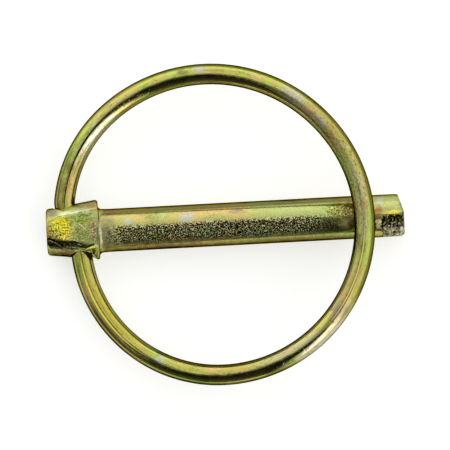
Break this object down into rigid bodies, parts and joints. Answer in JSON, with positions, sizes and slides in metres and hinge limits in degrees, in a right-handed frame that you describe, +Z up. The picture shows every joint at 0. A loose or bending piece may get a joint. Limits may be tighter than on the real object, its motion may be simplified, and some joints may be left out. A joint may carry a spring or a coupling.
{
  "type": "linch pin",
  "caption": "Linch pin with a plain round shank, a forged and flattened head, and a spring wire ring hinged across the head that closes over the shank's end to keep the pin in its hole.",
  "frame": {"origin": "on the shank's axis, in the plane of the shoulder where the head meets the shank", "axes": "+X along the shank from the head to the tip, +Y across the shank in the plane of the ring, +Z up, out of the side that the closed ring lies across"},
  "size_m": [0.0496, 0.0447, 0.0094],
  "materials": {
    "pin_plating": "yellow chromate over zinc, iridescent, with forging marks",
    "ring_plating": "yellow chromate over zinc on drawn wire, iridescent, with streaks along the wire"
  },
  "bodies": {
    "pin": {"forged_pin": "pin_plating"},
    "ring": {"spring_ring": "ring_plating"}
  },
  "joints": [
    {"name": "ring_swing", "type": "hinge", "parent": "pin", "child": "ring", "pos_m": [-0.00355, 0.00018, 0], "axis": [0.289, -0.9573, 0], "range_deg": [0, 346]}
  ]
}
